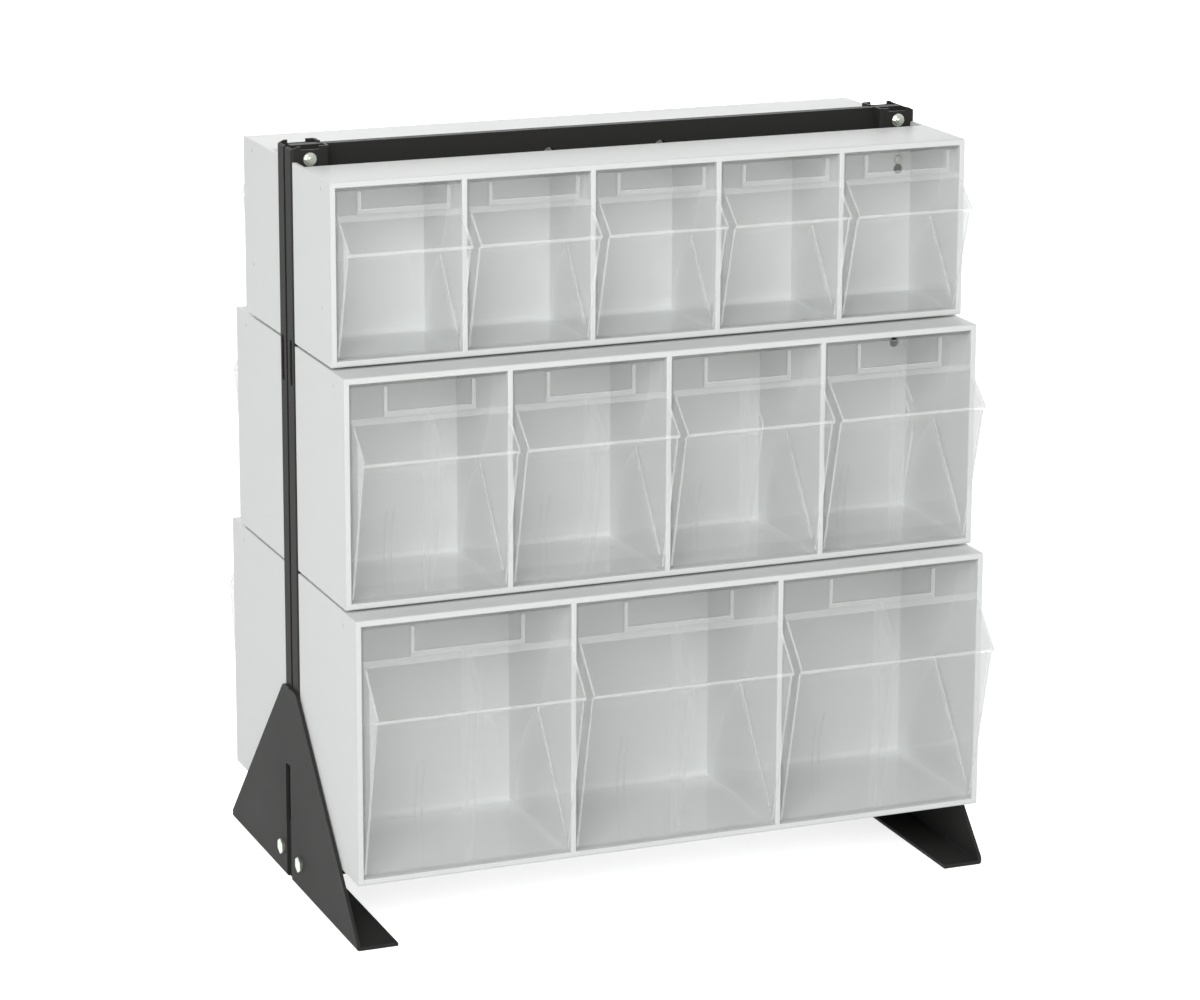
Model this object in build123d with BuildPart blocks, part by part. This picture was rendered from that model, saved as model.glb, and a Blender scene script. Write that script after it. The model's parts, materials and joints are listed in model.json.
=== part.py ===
from build123d import *
import math
import os

# Double-sided stand of clear tip-out bins, millimetres.
# +X right, the front faces -Y, +Z up, origin on the floor under the middle.
# The back half is the front half turned half a turn about Z.

# ---- whole stand -------------------------------------------------------
stand_width = 600.0          # width of every cabinet
back_plane = 20.5            # |Y| of the cabinet backs and of the upright webs
turn = Location((0, 0, 0), (0, 0, 180))

# ---- cabinets: depth, height, underside, bins --------------------------
top_depth = 105.0
top_height = 161.5
top_bins = 5
middle_depth = 136.5
middle_height = 205.0
middle_bins = 4
bottom_depth = 161.5
bottom_height = 240.0
bottom_bins = 3
bottom_underside = 57.5
cabinet_gap = 2.5
middle_underside = bottom_underside + bottom_height + cabinet_gap
top_underside = middle_underside + middle_height + cabinet_gap

shell_wall = 3.0             # outer walls of a cabinet
bead_width = 5.0             # front bead of a divider
bead_depth = 5.0
web_thickness = 3.2          # divider behind its bead
rim_height = 5.5             # front rim above and below the bins
side_corner = 2.0            # corner radius of the flat side walls
roll_radius = 28.0           # rolled rear top of the sheet between the side walls
heel_radius_rear = 8.0       # rear bottom of the same sheet
cove_floor = heel_radius_rear - shell_wall
front_edge = 1.2             # rounding of the front edges of beads and rims

# ---- bins --------------------------------------------------------------
tilt = 35.0                  # how far a bin tips out, degrees
bin_side_gap = 0.75          # to the bead on either side
pivot_back = 6.5             # behind the cabinet front
heel = 4.0                   # rounding of the floor front about the pivot
heel_gap = 0.4               # above the lower rim
pivot_up = rim_height + heel_gap + heel
bin_wall = 2.2
bin_side_wall = 2.0
label_back = 0.8             # upper face behind the cabinet front
top_drop = 8.5               # top edge below the top of the cabinet
lip_height = 3.0             # lip at the knee
lip_proud = 4.0
shoulder_length = 6.5        # raised band under the break
shoulder_rise = 0.6
crease_share = 0.6           # how far down the slope the crease lies
crease_width = 0.8
crease_rise = 0.35
crease_inset = 8.0
rear_wall_top = 57.0         # angle of the rear wall's upper edge
side_arc_top = 60.0          # angle where the side walls leave the arc
pin_diameter = 6.0
pin_clearance = 0.05         # radial
pin_into_bead = 2.1
pin_end_gap = 0.25
pin_hole_depth = pin_into_bead + pin_end_gap
stop_angle = 90.0 - tilt     # a stop rib stands upright when its bin is open
stop_gap = 0.3               # between the upright rib and the bead, at full tilt
stop_front = pivot_back - bead_depth - stop_gap
stop_rear = 1.8
stop_side_gap = 0.35         # between the rib and the divider
stop_proud = bin_side_gap + (bead_width - web_thickness) / 2 - stop_side_gap
stop_start = 9.0
foot_disc = 6.0              # rear feet of a bin
foot_gap = 0.3               # above the cabinet floor
foot_drop = pivot_up - heel - shell_wall - foot_gap
foot_inset = 12.0
level_ribs = 5               # plain marks on the inside of the right wall
level_width = 1.2
level_proud = 0.8

# drops are below the top of the cabinet, the knee stands proud of its front
top_break_drop = 30.0
top_knee_drop = 57.0
top_knee_proud = 29.0
top_floor_length = 86.0
top_return_depth = 30.0
middle_break_drop = 36.5
middle_knee_drop = 67.5
middle_knee_proud = 33.0
middle_floor_length = 112.0
middle_return_depth = 34.0
bottom_break_drop = 37.0
bottom_knee_drop = 79.0
bottom_knee_proud = 37.0
bottom_floor_length = 130.0
bottom_return_depth = 38.0

# label holders: width, sideways offset, gap above the break
top_label_width = 84.0
top_label_shift = 4.0
middle_label_width = 83.5
middle_label_shift = 0.0
bottom_label_width = 105.0
bottom_label_shift = 0.0
label_gap = 1.0
label_base_width = 1.6
label_base = 1.0
label_lip_width = 3.2
label_lip = 0.8
label_bar = 4.6              # height of the lower bar
label_stop = 0.6             # end below the top edge of the bin

# ---- uprights ----------------------------------------------------------
end_proud = 1.0              # outer faces of the uprights beyond the cabinets
upright_outer = stand_width / 2 + end_proud
upright_width = 35.0
upright_wall = 2.5
upright_open = 2.5           # |Y| of the open edge
upright_rise = 13.0          # above the upper cabinets
upright_top = top_underside + top_height + upright_rise
upright_bend = 3.0
horn_width = 9.0
horn_depth = 3.0
horn_chamfer = 6.0
slot_y = (back_plane + upright_open) / 2
slot_width = 7.0
slot_upper_z = 488.0
slot_upper_length = 42.0
slot_lower_z = 82.0
slot_lower_length = 56.0
hook_z = 140.0
hook_slot_length = 34.0

# ---- keyholes and screws of the cabinets -------------------------------
screw_inset = 17.0           # from the outer face of the upright
keyhole_x = upright_outer - screw_inset
keyhole_drop = 34.6          # below the top of the cabinet
screw_shank = 4.2
screw_clearance = 0.4        # radial
keyhole_slot = screw_shank + 2 * screw_clearance
screw_head = 8.6
screw_head_height = 2.6
screw_head_edge = 1.2
keyhole_round = screw_head + 2 * screw_clearance
keyhole_length = 9.0
web_hole = screw_shank + 2 * screw_clearance
screw_nut_flat = 7.0
screw_nut_height = 3.2
screw_tail = 1.6
screw_end = back_plane - upright_wall - screw_nut_height - screw_tail

# ---- top rail ----------------------------------------------------------
rail_half = 4.6
rail_height = 36.0
rail_below_top = 1.0         # below the horns of the uprights
rail_top = upright_top - rail_below_top
rail_bottom = rail_top - rail_height
rail_wall = 2.0
rail_end_gap = 2.5           # to the outer flange of the upright
rail_end = upright_outer - upright_wall - rail_end_gap
rail_gap = 0.4
rail_hole = 12.0
rail_hole_x = 54.0
rail_hole_up = 13.0          # above the underside of the rail
rail_hole_z = rail_bottom + rail_hole_up
bolt_below_top = 11.3        # below the horns
bolt_z = upright_top - bolt_below_top
bolt_x = keyhole_x
bolt_shank = 5.0
bolt_clearance = 0.4         # radial
bolt_hole = bolt_shank + 2 * bolt_clearance
washer_diameter = 12.0
washer_thickness = 1.2
bolt_flat = 8.0
bolt_head = 3.5
bolt_tail = 2.0

# ---- feet --------------------------------------------------------------
foot_thickness = 3.0
foot_outer = upright_outer + foot_thickness
foot_toe = 187.0
foot_toe_height = 6.5
foot_top = 184.3
foot_shoulder = 18.4         # |Y| where the slope leaves the top
foot_apex_radius = 11.0
foot_toe_radius = 4.0
foot_bend = 2.4              # outer bend between plate and floor flange
foot_floor_width = 38.0
foot_floor_start = 24.0
relief_y = 14.0
relief_z = 110.0
hook_beyond = 2.0            # behind the flange of the upright
hook_reach = upright_wall + hook_beyond
hook_side_gap = 2.0          # to the sides of its slot
hook_thickness = slot_width - 2 * hook_side_gap
hook_end_gap = 6.0           # to the ends of its slot
hook_height = hook_slot_length - 2 * hook_end_gap
foot_rail_thickness = 2.5
foot_rail_bottom = 13.0
foot_rail_height = 24.0
foot_rail_gap = 1.5          # lugs clear of the uprights
foot_rail_tab = back_plane + foot_rail_gap
foot_rail_inside = 9.0       # reach of a lug behind the bar
foot_rail_edge = 1.2         # rounding of the ends of the bar
foot_rail_near = foot_rail_tab + foot_rail_inside
foot_bolt_y = foot_rail_tab + foot_rail_inside / 2
foot_bolt_z = foot_rail_bottom + foot_rail_height / 2
foot_bolt_shank = 5.0
foot_bolt_hole = foot_bolt_shank + 2 * bolt_clearance
foot_bolt_flat = 13.0
foot_bolt_head = 3.2
foot_bolt_chamfer = 0.6
foot_bolt_seat = 0.5         # thickness of the round seat under the hexagon
foot_bolt_tail = 2.5
foot_nut_flat = 8.0
foot_nut_height = 4.0

os.makedirs("parts", exist_ok=True)


def half_turned(part, name):
    # The same piece on the back half.
    with BuildPart() as other:
        with Locations(turn):
            add(part)
    other.part.label = name
    export_step(other.part, "parts/" + name + ".step")
    return other.part


def side_plane(x, y, z):
    # Drawing plane seen from the right: first axis +Y, second axis +Z, extrudes along +X.
    return Plane(origin=(x, y, z), x_dir=(0, 1, 0), z_dir=(1, 0, 0))


def front_plane(x, y, z):
    # Drawing plane seen from the back: first axis -X, second axis +Z, extrudes along +Y.
    return Plane(origin=(x, y, z), x_dir=(-1, 0, 0), z_dir=(0, 1, 0))


# ---- cabinet: side walls, rolled sheet, one bay per bin ------------------
def cabinet(name, depth, height, underside, bins):
    front = -(back_plane + depth)
    pitch = (stand_width - bead_width) / bins
    half = stand_width / 2
    web = web_thickness / 2
    with BuildPart() as body:
        with BuildSketch(side_plane(-half, front, underside)):
            with Locations((depth / 2, height / 2)):
                RectangleRounded(depth, height, side_corner)
        extrude(amount=shell_wall)
        with BuildSketch(side_plane(half - shell_wall, front, underside)):
            with Locations((depth / 2, height / 2)):
                RectangleRounded(depth, height, side_corner)
        extrude(amount=shell_wall)
        with BuildSketch(side_plane(-half + shell_wall, front, underside)) as sheet:
            with Locations((depth / 2, height / 2)):
                Rectangle(depth, height)
            far = sheet.vertices().filter_by_position(Axis.X, depth - 0.1, depth + 0.1)
            fillet(far.sort_by(Axis.Y)[-1], radius=roll_radius)
            low = sheet.vertices().filter_by_position(Axis.X, depth - 0.1, depth + 0.1)
            fillet(low.sort_by(Axis.Y)[0], radius=heel_radius_rear)
            near = sheet.vertices().filter_by_position(Axis.X, -0.1, 0.1)
            fillet(near, radius=side_corner)
        extrude(amount=stand_width - 2 * shell_wall)
        for i in range(bins):
            left = -half + bead_width / 2 + i * pitch
            right = left + pitch
            # bay opening between the beads and the rims
            with BuildSketch(side_plane(left + bead_width / 2, front, underside)):
                with Locations((bead_depth / 2, height / 2)):
                    Rectangle(bead_depth + 2, height - 2 * rim_height)
            extrude(amount=pitch - bead_width, mode=Mode.SUBTRACT)
            # bay behind the beads
            a = left + (shell_wall - bead_width / 2 if i == 0 else web)
            b = right - (shell_wall - bead_width / 2 if i == bins - 1 else web)
            inner = depth - shell_wall - bead_depth
            with BuildSketch(side_plane(a, front, underside)) as bay:
                with Locations((bead_depth + inner / 2, height / 2)):
                    Rectangle(inner, height - 2 * shell_wall)
                rear = bay.vertices().filter_by_position(
                    Axis.X, bead_depth + inner - 0.1, bead_depth + inner + 0.1
                )
                fillet(rear.sort_by(Axis.Y)[-1], radius=roll_radius - shell_wall)
                low = bay.vertices().filter_by_position(
                    Axis.X, bead_depth + inner - 0.1, bead_depth + inner + 0.1
                )
                fillet(low.sort_by(Axis.Y)[0], radius=cove_floor)
            extrude(amount=b - a, mode=Mode.SUBTRACT)
        # softened front edges of the openings
        edges = body.edges().filter_by_position(Axis.Y, front - 0.01, front + 0.01)
        inside = edges.filter_by_position(
            Axis.X, -half + shell_wall, half - shell_wall
        ).filter_by_position(
            Axis.Z, underside + rim_height - 0.1, underside + height - rim_height + 0.1
        )
        fillet(inside, radius=front_edge)
        # pivot holes: one through each divider, blind in the outer walls
        hole = pin_diameter / 2 + pin_clearance
        for i in range(1, bins):
            x = -half + bead_width / 2 + i * pitch
            with BuildSketch(side_plane(x - bead_width, front, underside)):
                with Locations((pivot_back, pivot_up)):
                    Circle(hole)
            extrude(amount=2 * bead_width, mode=Mode.SUBTRACT)
        for x in (-half + bead_width - pin_hole_depth, half - bead_width):
            with BuildSketch(side_plane(x, front, underside)):
                with Locations((pivot_back, pivot_up)):
                    Circle(hole)
            extrude(amount=pin_hole_depth, mode=Mode.SUBTRACT)
        # keyholes in the back wall
        z = underside + height - keyhole_drop
        for x in (-keyhole_x, keyhole_x):
            with BuildSketch(front_plane(x, -back_plane - shell_wall - 1, z)):
                with Locations((0, -keyhole_length / 2)):
                    Rectangle(keyhole_slot, keyhole_length)
                Circle(keyhole_slot / 2)
                with Locations((0, -keyhole_length)):
                    Circle(keyhole_round / 2)
            extrude(amount=shell_wall + 2, mode=Mode.SUBTRACT)
    body.part.label = name
    export_step(body.part, "parts/" + name + ".step")
    return body.part


# ---- bin: cup of clear sheet turning about its two stub pins -------------
def bin_outline(height, shape):
    # Corner points in the plane of the side view, from the pivot: first inward, second up.
    break_drop, knee_drop, proud, length, depth = shape
    face = label_back - pivot_back
    top = height - top_drop - pivot_up
    break_z = height - break_drop - pivot_up
    knee_z = height - knee_drop - pivot_up
    tip = -proud - pivot_back
    low = (tip + lip_proud, knee_z - lip_height)
    # lower wall: tangent to the heel circle
    far = math.hypot(low[0], low[1])
    aim = math.atan2(low[1], low[0])
    touch = aim + math.acos(heel / far)
    tangent = (heel * math.cos(touch), heel * math.sin(touch))
    # corner where the slope and the lower wall would meet
    run = (low[0] - tangent[0], low[1] - tangent[1])
    slope = (tip - face, knee_z - break_z)
    wide = (face - tangent[0], break_z - tangent[1])
    share = (wide[0] * slope[1] - wide[1] * slope[0]) / (run[0] * slope[1] - run[1] * slope[0])
    corner = (tangent[0] + share * run[0], tangent[1] + share * run[1])
    rear = math.sqrt(length**2 - heel**2)
    arc_top = math.radians(side_arc_top)
    return {
        "face": face,
        "top": top,
        "break": (face, break_z),
        "tip": (tip, knee_z),
        "tip_low": (tip, knee_z - lip_height),
        "low": low,
        "tangent": tangent,
        "touch": touch,
        "corner": corner,
        "rear": (rear, -heel),
        "arc_end": (length * math.cos(arc_top), length * math.sin(arc_top)),
        "back": depth - pivot_back,
        "length": length,
        "slope": slope,
    }


def bin_cup(width, height, shape, label):
    p = bin_outline(height, shape)
    face = p["face"]
    top = p["top"]
    back = p["back"]
    length = p["length"]
    reach = math.hypot(p["slope"][0], p["slope"][1])
    down = (p["slope"][0] / reach, p["slope"][1] / reach)
    out = (down[1], -down[0])
    cut = math.radians(rear_wall_top)
    start = math.asin(-heel / length)
    middle = (start + math.radians(side_arc_top)) / 2
    heel_mid = (p["touch"] + 1.5 * math.pi) / 2
    mouth = [
        (face + bin_wall, top + 5),
        (back + 30, top + 5),
        ((length + 5) * math.cos(cut), (length + 5) * math.sin(cut)),
        ((length - 12) * math.cos(cut), (length - 12) * math.sin(cut)),
        (face + bin_wall, p["break"][1] + 2),
    ]
    half = width / 2
    with BuildPart() as cup:
        with BuildSketch(side_plane(-half, 0, 0)) as outer:
            with BuildLine():
                Line((face, top), p["break"])
                Line(p["break"], p["corner"])
                Line(p["corner"], p["tangent"])
                ThreePointArc(
                    p["tangent"],
                    (heel * math.cos(heel_mid), heel * math.sin(heel_mid)),
                    (0, -heel),
                )
                Line((0, -heel), p["rear"])
                ThreePointArc(
                    p["rear"],
                    (length * math.cos(middle), length * math.sin(middle)),
                    p["arc_end"],
                )
                Line(p["arc_end"], (back, p["break"][1]))
                Line((back, p["break"][1]), (back, top))
                Line((back, top), (face, top))
            make_face()
        extrude(amount=width)
        # inside of the cup
        with BuildSketch(side_plane(-half + bin_side_wall, 0, 0)):
            add(outer.sketch_local)
            offset(amount=-bin_wall, kind=Kind.INTERSECTION, mode=Mode.REPLACE)
            with BuildLine():
                Polyline(*mouth, close=True)
            make_face()
        extrude(amount=width - 2 * bin_side_wall, mode=Mode.SUBTRACT)
        # knee lip
        with BuildSketch(side_plane(-half, 0, 0)):
            with BuildLine():
                Polyline(
                    p["corner"],
                    p["tip"],
                    p["tip_low"],
                    p["low"],
                    (p["low"][0] + 1, p["low"][1]),
                    (p["corner"][0] + 1, p["corner"][1]),
                    close=True,
                )
            make_face()
        extrude(amount=width)
        # raised shoulder under the break
        with BuildSketch(side_plane(-half, 0, 0)):
            b = p["break"]
            s = shoulder_length
            r = shoulder_rise
            with BuildLine():
                Polyline(
                    (b[0], b[1] + r),
                    (b[0] + out[0] * r, b[1] + out[1] * r),
                    (b[0] + down[0] * s + out[0] * r, b[1] + down[1] * s + out[1] * r),
                    (b[0] + down[0] * (s + r), b[1] + down[1] * (s + r)),
                    (b[0] + down[0] * s - out[0], b[1] + down[1] * s - out[1]),
                    (b[0] + 1, b[1]),
                    close=True,
                )
            make_face()
        extrude(amount=width)
        # crease line across the slope
        with BuildSketch(side_plane(-half + crease_inset, 0, 0)):
            b = p["break"]
            s = reach * crease_share
            e = s + crease_width
            r = crease_rise
            with BuildLine():
                Polyline(
                    (b[0] + down[0] * s - out[0], b[1] + down[1] * s - out[1]),
                    (b[0] + down[0] * s + out[0] * r, b[1] + down[1] * s + out[1] * r),
                    (b[0] + down[0] * e + out[0] * r, b[1] + down[1] * e + out[1] * r),
                    (b[0] + down[0] * e - out[0], b[1] + down[1] * e - out[1]),
                    close=True,
                )
            make_face()
        extrude(amount=width - 2 * crease_inset)
        # level marks inside the right wall
        for k in range(level_ribs):
            rise = 0.5 + 0.09 * k
            near = length * 0.38 + k * 0.02 * length
            end = length * 0.80 - k * 0.10 * length
            with BuildSketch(side_plane(half - bin_side_wall - level_proud, 0, 0)):
                with Locations(((near + end) / 2, length * rise)):
                    Rectangle(end - near, level_width)
            extrude(amount=level_proud + 0.5)
        # stop ribs on both outer sides
        for x in (-half - stop_proud, half - 0.5):
            with BuildSketch(side_plane(x, 0, 0)):
                with Locations(Location((0, 0, 0), (0, 0, stop_angle))):
                    with Locations(
                        ((length - 1 + stop_start) / 2, (stop_front - stop_rear) / 2)
                    ):
                        Rectangle(length - 1 - stop_start, stop_front + stop_rear)
            extrude(amount=stop_proud + 0.5)
        # stub pins
        pin = bin_side_gap + pin_into_bead
        for x in (-half - pin, half - 1):
            with BuildSketch(side_plane(x, 0, 0)):
                Circle(pin_diameter / 2)
            extrude(amount=pin + 1)
        # rear feet under the floor
        with BuildSketch(Plane.XY.offset(-heel - foot_drop)):
            with Locations(
                (-half + foot_inset, length * 0.78), (half - foot_inset, length * 0.78)
            ):
                Circle(foot_disc / 2)
        extrude(amount=foot_drop + 0.5)
        # label holder: narrow base under a wider lip, open at the top
        wide, shift = label
        low = p["break"][1] + label_gap
        high = top - label_stop
        for depth, edge, proud in (
            (label_base + 0.5, label_base_width, label_base),
            (label_lip, label_lip_width, label_base + label_lip),
        ):
            bar = label_bar if proud > label_base else label_bar - label_lip_width + edge
            with BuildSketch(front_plane(0, face - proud, 0)):
                with Locations((-shift, (low + high) / 2)):
                    Rectangle(wide, high - low)
                with Locations((-shift, (low + bar + high + 1) / 2)):
                    Rectangle(wide - 2 * edge, high + 1 - low - bar, mode=Mode.SUBTRACT)
            extrude(amount=depth)
    return cup.part


def bins_of(tier, depth, height, underside, bins, shape, label):
    front = -(back_plane + depth)
    pitch = (stand_width - bead_width) / bins
    width = pitch - bead_width - 2 * bin_side_gap
    cup = bin_cup(width, height, shape, label)
    for i in range(bins):
        x = -stand_width / 2 + bead_width / 2 + (i + 0.5) * pitch
        name = "bin_front_" + tier + "_" + str(i + 1)
        with BuildPart() as placed:
            with Locations((x, front + pivot_back, underside + pivot_up)):
                add(cup)
        placed.part.label = name
        export_step(placed.part, "parts/" + name + ".step")
        half_turned(placed.part, name.replace("front", "back"))


top_shape = (
    top_break_drop, top_knee_drop, top_knee_proud, top_floor_length, top_return_depth
)
middle_shape = (
    middle_break_drop, middle_knee_drop, middle_knee_proud, middle_floor_length,
    middle_return_depth
)
bottom_shape = (
    bottom_break_drop, bottom_knee_drop, bottom_knee_proud, bottom_floor_length,
    bottom_return_depth
)
top_label = (top_label_width, top_label_shift)
middle_label = (middle_label_width, middle_label_shift)
bottom_label = (bottom_label_width, bottom_label_shift)
tiers = (
    ("top", top_depth, top_height, top_underside, top_bins, top_shape, top_label),
    ("middle", middle_depth, middle_height, middle_underside, middle_bins,
     middle_shape, middle_label),
    ("bottom", bottom_depth, bottom_height, bottom_underside, bottom_bins,
     bottom_shape, bottom_label),
)
for tier, depth, height, underside, bins, shape, label in tiers:
    housing = cabinet("cabinet_front_" + tier, depth, height, underside, bins)
    half_turned(housing, "cabinet_back_" + tier)
    bins_of(tier, depth, height, underside, bins, shape, label)


# ---- upright channel, right end of the front half ------------------------
inner_x = upright_outer - upright_width
with BuildPart() as upright:
    with BuildSketch(Plane.XY) as section:
        with Locations((upright_outer - upright_width / 2, -(back_plane + upright_open) / 2)):
            Rectangle(upright_width, back_plane - upright_open)
        outer_bends = section.vertices().sort_by(Axis.Y)[:2]
        fillet(outer_bends, radius=upright_bend)
        with BuildSketch(Plane.XY, mode=Mode.PRIVATE) as hollow:
            with Locations(
                (upright_outer - upright_width / 2,
                 -(back_plane - upright_wall + upright_open - 1) / 2)
            ):
                Rectangle(
                    upright_width - 2 * upright_wall,
                    back_plane - upright_wall - upright_open + 1,
                )
            inner_bends = hollow.vertices().sort_by(Axis.Y)[:2]
            fillet(inner_bends, radius=upright_bend - upright_wall + 0.3)
        add(hollow.sketch, mode=Mode.SUBTRACT)
    extrude(amount=upright_top)
    # notch between the two horns of the web
    with BuildSketch(front_plane(0, -back_plane - 1, 0)):
        with Locations((-(upright_outer - upright_width / 2), upright_top)):
            Rectangle(upright_width - 2 * horn_width, 2 * horn_depth)
    extrude(amount=upright_wall + 1.5, mode=Mode.SUBTRACT)
    # chamfered outer top
    with BuildSketch(front_plane(0, -back_plane - 1, 0)):
        with BuildLine():
            Polyline(
                (-upright_outer - 1, upright_top + 1),
                (-upright_outer + horn_chamfer, upright_top + 1),
                (-upright_outer + horn_chamfer, upright_top),
                (-upright_outer, upright_top - horn_depth),
                (-upright_outer - 1, upright_top - horn_depth),
                close=True,
            )
        make_face()
    extrude(amount=back_plane + 1, mode=Mode.SUBTRACT)
    # slots of the outer flange
    with BuildSketch(side_plane(upright_outer - upright_wall - 1, 0, 0)):
        with Locations((-slot_y, slot_upper_z)):
            SlotOverall(slot_upper_length, slot_width, rotation=90)
        with Locations((-slot_y, slot_lower_z)):
            SlotOverall(slot_lower_length, slot_width, rotation=90)
        with Locations((-slot_y, hook_z)):
            SlotOverall(hook_slot_length, slot_width, rotation=90)
    extrude(amount=upright_wall + 2, mode=Mode.SUBTRACT)
    # notch of the inner flange for the top rail
    with BuildSketch(side_plane(inner_x - 1, 0, 0)):
        with Locations((0, (rail_bottom + upright_top + 1) / 2)):
            Rectangle(2 * (rail_half + rail_gap), upright_top + 1 - rail_bottom)
    extrude(amount=upright_wall + 2, mode=Mode.SUBTRACT)
    # hole of the through bolt and holes of the cabinet screws
    with BuildSketch(front_plane(0, -back_plane - 1, 0)):
        with Locations((-bolt_x, bolt_z)):
            Circle(bolt_hole / 2)
        for tier, depth, height, underside, bins, shape, label in tiers:
            with Locations((-keyhole_x, underside + height - keyhole_drop)):
                Circle(web_hole / 2)
    extrude(amount=upright_wall + 2, mode=Mode.SUBTRACT)
upright.part.label = "upright_front_right"
export_step(upright.part, "parts/upright_front_right.step")
half_turned(upright.part, "upright_back_left")

with BuildPart() as upright_left:
    add(upright.part.mirror(Plane.YZ))
upright_left.part.label = "upright_front_left"
export_step(upright_left.part, "parts/upright_front_left.step")
half_turned(upright_left.part, "upright_back_right")


# ---- top rail: upturned channel between the two ends ---------------------
with BuildPart() as rail:
    with BuildSketch(side_plane(-rail_end, 0, 0)):
        with Locations((0, (rail_bottom + rail_top) / 2)):
            Rectangle(2 * rail_half, rail_top - rail_bottom)
        with Locations((0, (rail_bottom + rail_top) / 2 - rail_wall)):
            Rectangle(
                2 * (rail_half - rail_wall), rail_top - rail_bottom, mode=Mode.SUBTRACT
            )
    extrude(amount=2 * rail_end)
    with BuildSketch(front_plane(0, -rail_half - 1, 0)):
        with Locations((-rail_hole_x, rail_hole_z), (rail_hole_x, rail_hole_z)):
            Circle(rail_hole / 2)
        with Locations((-bolt_x, bolt_z), (bolt_x, bolt_z)):
            Circle(bolt_hole / 2)
    extrude(amount=2 * rail_half + 2, mode=Mode.SUBTRACT)
rail.part.label = "rail_top"
export_step(rail.part, "parts/rail_top.step")


# ---- foot rail of the front: a flat bar -----------------------------------
foot_rail_far = foot_rail_near + foot_rail_thickness
with BuildPart() as foot_rail:
    with BuildSketch(Plane.XY.offset(foot_rail_bottom)) as bar:
        with Locations((0, -(foot_rail_far + foot_rail_near) / 2)):
            Rectangle(2 * upright_outer, foot_rail_thickness)
        fillet(bar.vertices().sort_by(Axis.Y)[:2], radius=foot_rail_edge)
    extrude(amount=foot_rail_height)
foot_rail.part.label = "foot_rail_front"
export_step(foot_rail.part, "parts/foot_rail_front.step")
half_turned(foot_rail.part, "foot_rail_back")


# ---- lugs welded to the ends of both foot rails, flat on the foot plates ---
with BuildPart() as foot_rail_lugs:
    for x in (-upright_outer, upright_outer - foot_rail_thickness):
        for side in (-1, 1):
            with BuildSketch(side_plane(x, 0, 0)):
                with Locations((side * (foot_rail_tab + foot_rail_near) / 2, foot_bolt_z)):
                    Rectangle(foot_rail_inside, foot_rail_height)
                with Locations((side * foot_bolt_y, foot_bolt_z)):
                    Circle(foot_bolt_hole / 2, mode=Mode.SUBTRACT)
            extrude(amount=foot_rail_thickness)
foot_rail_lugs.part.label = "foot_rail_lugs"
export_step(foot_rail_lugs.part, "parts/foot_rail_lugs.step")


# ---- foot plates: the left one has a plain inner edge --------------------
def foot_plate(name, side, relief):
    # side -1 is the left end, +1 the right end
    face = upright_outer if side > 0 else -upright_outer - foot_thickness
    inner = foot_outer - foot_floor_width
    with BuildPart() as foot:
        with BuildSketch(side_plane(face, 0, 0)) as plate:
            with BuildLine():
                Polyline(
                    (0, 0),
                    (-foot_toe, 0),
                    (-foot_toe, foot_toe_height),
                    (-foot_shoulder, foot_top),
                    (0, foot_top),
                    close=True,
                )
            make_face()
            high = plate.vertices().sort_by(Axis.Y)[-2:]
            fillet(high.sort_by(Axis.X)[0], radius=foot_apex_radius)
            high = plate.vertices().sort_by(Axis.X)[-2:]
            fillet(high.sort_by(Axis.Y)[-1], radius=foot_toe_radius)
            toe = plate.vertices().sort_by(Axis.X)[:2]
            fillet(toe.sort_by(Axis.Y)[-1], radius=foot_toe_radius)
            if relief:
                with Locations((-relief_y / 2 + 1, relief_z / 2 - 1)):
                    Rectangle(relief_y + 2, relief_z + 2, mode=Mode.SUBTRACT)
                step = plate.vertices().filter_by_position(
                    Axis.Y, relief_z - 0.1, relief_z + 0.1
                )
                fillet(step, radius=foot_toe_radius)
        extrude(amount=foot_thickness)
        # floor flange turned inward
        with BuildSketch(Plane.XY):
            with Locations(
                (side * (inner + foot_outer) / 2, -(foot_toe + foot_floor_start) / 2)
            ):
                Rectangle(foot_floor_width, foot_toe - foot_floor_start)
        extrude(amount=foot_thickness)
        # bend between plate and flange
        bend = (
            foot.edges()
            .filter_by(Axis.Y)
            .filter_by_position(Axis.Z, -0.1, 0.1)
            .filter_by_position(Axis.X, side * foot_outer - 0.1, side * foot_outer + 0.1)
        )
        fillet(bend, radius=foot_bend)
        # hook into the slot of the upright
        with BuildSketch(Plane.XY.offset(hook_z - hook_height / 2)):
            with Locations((side * (upright_outer - hook_reach / 2 + 0.5), -slot_y)):
                Rectangle(hook_reach + 1, hook_thickness)
        extrude(amount=hook_height)
        # bolt hole
        with BuildSketch(side_plane(face - 1, 0, 0)):
            with Locations((-foot_bolt_y, foot_bolt_z)):
                Circle(foot_bolt_hole / 2)
        extrude(amount=foot_thickness + 2, mode=Mode.SUBTRACT)
    foot.part.label = name
    export_step(foot.part, "parts/" + name + ".step")
    return foot.part


left_foot = foot_plate("foot_front_left", -1, False)
half_turned(left_foot, "foot_back_right")
right_foot = foot_plate("foot_front_right", 1, True)
half_turned(right_foot, "foot_back_left")


# ---- through bolts of the top rail, heads at the front -------------------
with BuildPart() as frame_bolts:
    with BuildSketch(Plane.XZ.offset(-back_plane - washer_thickness - bolt_head)):
        with Locations((-bolt_x, bolt_z), (bolt_x, bolt_z)):
            Circle(bolt_shank / 2)
    extrude(amount=2 * (back_plane + washer_thickness) + 2 * bolt_head + bolt_tail)
    with BuildSketch(Plane.XZ.offset(back_plane + washer_thickness)):
        with Locations((-bolt_x, bolt_z), (bolt_x, bolt_z)):
            RegularPolygon(bolt_flat / 2, 6, major_radius=False)
    extrude(amount=bolt_head)
frame_bolts.part.label = "frame_bolts"
export_step(frame_bolts.part, "parts/frame_bolts.step")

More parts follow.
